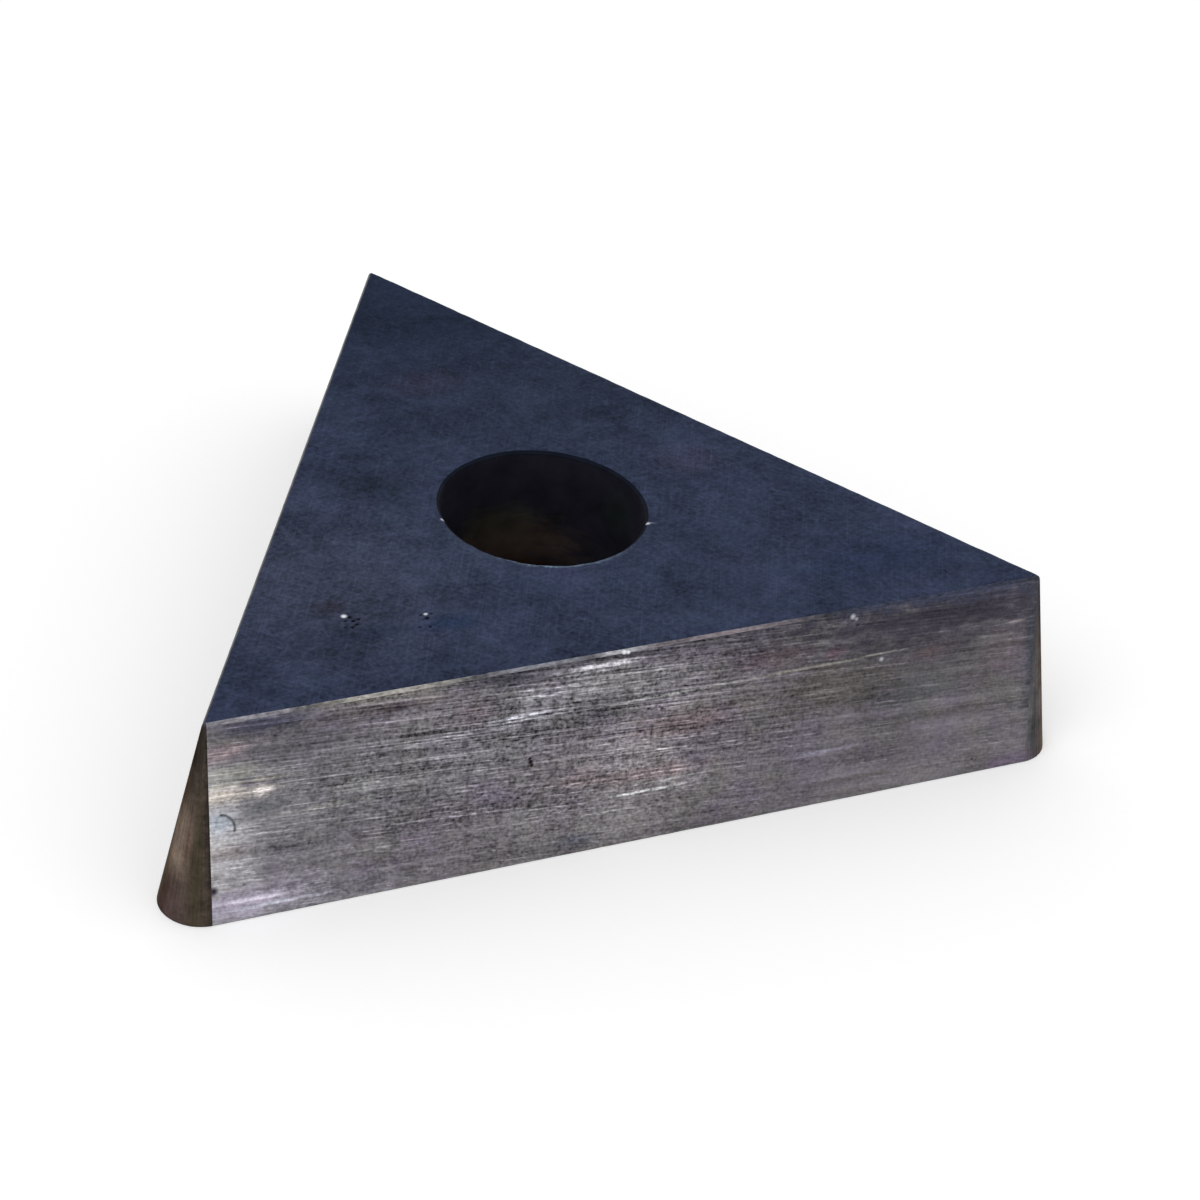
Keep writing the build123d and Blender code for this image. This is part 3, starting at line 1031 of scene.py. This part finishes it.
SCRATCH_SETS = [(62, 1.8, 0.045, 0.42), (-38, 1.1, 0.050, 0.40), (24, 0.8, 0.055, 0.34),
                (-78, 2.6, 0.040, 0.30)]
# The dark blue and violet of the flat faces are painted reflections of the surroundings.
PAINTED_REFLECTION_BLUE = (0.0235, 0.0335, 0.0605, 1)
PAINTED_REFLECTION_VIOLET = (0.0270, 0.0310, 0.0615, 1)
# The pale blue of rubbed edges, and of the painted highlight along the bore's near edge.
RUBBED_AND_GLINT_BLUE = (0.110, 0.150, 0.210, 1)
LAPPED_SHEEN = (0.64, 0.68, 0.75, 1)
RUB_AND_GLINT_WIDTH = 0.09
SEAT_RIM_GLINT = (-0.6, -2.5, 2.4, 1.6)


def scratches_on(tree, place, seed):
    """Fine scratches in several directions, each set with its angle, length, width and weight."""
    total = 0.0
    for angle, length, width, weight in SCRATCH_SETS:
        lines = lines_on(tree, turned(tree, place, -angle), length, width, seed + angle)
        total = calculate(tree, "ADD", spread(tree, lines, 0.55, 1.0, 0.0, weight), total)
    return total


for name, seed in (("seat_face", 2.0), ("cutting_face", 12.0)):
    tree, place = start_finish(name)
    clouds = clouds_on(tree, place, 2.2, seed, 5.0)
    grain = clouds_on(tree, place, 0.11, seed + 1, 2.0)
    tint = clouds_on(tree, place, 0.9, seed + 2)
    blotches = clouds_on(tree, place, 0.45, seed + 3, 4.0)
    scratches = scratches_on(tree, place, seed)
    tone = add_up(tree, -0.17, (clouds, 0.88), (blotches, 0.65), (grain, 0.84), (scratches, 1.0))
    colour = mix(tree, tint, PAINTED_REFLECTION_BLUE, PAINTED_REFLECTION_VIOLET)
    inputs = {"Vector": place, "Distance": attribute(tree, "edge_mm"), "Width": RUB_AND_GLINT_WIDTH}
    rim = use_group(tree, edge_wear_and_glint, inputs)
    if name == "seat_face":
        colour = lay_marks_and_painted_light(tree, place, 0.3, colour, SEAT_MARKS_AND_REFLECTIONS)
        # On the seat face the pale band is a painted highlight along the near edge of the bore.
        rim = calculate(tree, "MULTIPLY", rim, patch_on(tree, place, *SEAT_RIM_GLINT))
    colour = mix(tree, rim, colour, RUBBED_AND_GLINT_BLUE)
    finish_with(tree, colour, tone, {"Roughness": 0.42, "Specular Tint": LAPPED_SHEEN}, scratches, bump=0.12)

# %% [markdown]
# ## The bore
# The bore was never ground. Its wall is painted nearly black for the shade inside the bore, with a brown
# painted reflection of the surface below deep down on the wall that faces the camera.

# %% The bore finish
# The near black is painted shade inside the bore, and the brown, red and olive rows are painted reflections.
BORE_SHADE_BLACK = (0.0148, 0.0144, 0.0230, 1)
BORE_MARKS_AND_REFLECTIONS = [
    ("brown reflection", 3.2, 2.5, 2.4, 1.0, 0.06, 0.042, 0.032, 0.9),
    ("red foot", 3.0, 3.4, 2.6, 0.8, 0.018, 0.007, 0.002, 1.0),
    ("olive reflection", 3.6, 1.9, 1.6, 0.7, 0.038, 0.034, 0.023, 0.75),
    ("green edge", 0.6, 1.0, 0.8, 1.0, 0.01, 0.018, 0.012, 0.5),
    ("blue mouth", 2.4, 0.0, 9.0, 0.14, 0.006, 0.009, 0.017, 1.0),
]
tree, place = start_finish("bore_wall")
tone = add_up(tree, 0.6, (clouds_on(tree, place, 0.7, 5.0, 4.0), 0.8))
colour = lay_marks_and_painted_light(tree, place, 0.3, BORE_SHADE_BLACK, BORE_MARKS_AND_REFLECTIONS)
finish_with(tree, colour, tone, {"Roughness": 0.8, "Metallic": 0.2, "Specular IOR Level": 0.05})

# %% [markdown]
# ## The land at the seat's edge
# The seat's edge was touched with a hone, so a narrow land runs round it. Along the front it carries a painted
# reflection, bright on the left and fading towards the right. On the two other edges it is dull.

# %% The land finish
LAND_DULL = (0.034, 0.035, 0.040, 1)
# These runs are painted reflections along the front land.
LAND_REFLECTIONS = [
    ("left end", -8.6, 0.0, 1.8, 1.0, 0.27, 0.26, 0.29, 0.95),
    ("cream run", -5.6, 0.0, 2.6, 1.0, 0.38, 0.362, 0.338, 0.95),
    ("grey run", -2.4, 0.0, 2.2, 1.0, 0.22, 0.22, 0.25, 0.95),
    ("sparkle", -0.5, 0.0, 1.0, 1.0, 0.42, 0.42, 0.45, 0.95),
    ("middle run", 2.0, 0.0, 3.0, 1.0, 0.23, 0.2, 0.22, 0.95),
    ("right run", 7.0, 0.0, 4.6, 1.0, 0.048, 0.054, 0.086, 0.95),
]
tree, place = start_finish("edge_land")
tone = add_up(tree, 0.5, (lines_on(tree, place, 0.16, 0.05, 6.0), 1.0))
colour = lay_marks_and_painted_light(tree, place, 0.3, LAND_DULL, LAND_REFLECTIONS)
finish_with(tree, colour, tone, {"Roughness": 0.36})

# %% [markdown]
# ## Floor, lamp and world
# The insert lies on a plain pale floor under an even pale sky, with one large soft lamp at the upper left.
# The sky carries nearly all of the light, so that a colour renders about as it is written, and the lamp only
# adds a direction and a soft shadow. The sky and the floor are a little brighter to the camera and to
# reflections, so that the background stays pale without more light on the part.

# %% Floor
FLOOR_SIZE = 3.0
FLOOR_DROP = 0.01 * MM
FLOOR_WHITE = (0.95, 0.95, 0.95, 1)
FLOOR_LIFT = 0.17


def seen_directly(tree):
    """1 for rays from the camera and for reflected and passing rays, 0 for the light that falls on things."""
    path = add(tree, "LightPath", {}).outputs
    seen = calculate(tree, "MAXIMUM", path["Is Camera Ray"], path["Is Glossy Ray"])
    return calculate(tree, "MAXIMUM", seen, path["Is Transmission Ray"])


bpy.ops.object.select_all(action="DESELECT")
bpy.ops.mesh.primitive_plane_add(size=FLOOR_SIZE, location=(0, 0, -FLOOR_DROP))
floor = bpy.context.object
floor.name = "floor"
floor_paint = bpy.data.materials.new("floor_paint")
floor_paint.use_nodes = True
paint_tree = floor_paint.node_tree
fill(paint_tree, paint_tree.nodes["Principled BSDF"], {
    "Base Color": FLOOR_WHITE, "Roughness": 1.0, "Specular IOR Level": 0.0, "Emission Color": WHITE,
    "Emission Strength": spread(paint_tree, seen_directly(paint_tree), 0.0, 1.0, 0.0, FLOOR_LIFT)})
floor.data.materials.append(floor_paint)
print("floor of", FLOOR_SIZE, "m")

# %% World and lamp
SKY_STRENGTH = 0.80
LAMP_POWER = 0.05
LAMP_SIZE = 0.10
LAMP_PLACE = (-0.09, -0.05, 0.14)

world = bpy.data.worlds.new("pale_sky")
bpy.context.scene.world = world
world.use_nodes = True
sky = world.node_tree
strength = spread(sky, seen_directly(sky), 0.0, 1.0, SKY_STRENGTH, 1.0)
fill(sky, sky.nodes["Background"], {"Color": WHITE, "Strength": strength})
bpy.ops.object.light_add(type="AREA", location=LAMP_PLACE)
lamp = bpy.context.object
lamp.name = "soft_lamp"
lamp.data.shape = "DISK"
lamp.data.size = LAMP_SIZE
lamp.data.energy = LAMP_POWER
lamp.rotation_euler = (-lamp.location).to_track_quat("-Z", "Y").to_euler()
print("sky", SKY_STRENGTH, "lamp", LAMP_POWER, "W")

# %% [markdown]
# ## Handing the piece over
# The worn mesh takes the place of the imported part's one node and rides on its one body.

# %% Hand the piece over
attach(insert, "root")
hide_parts("carbide_insert")
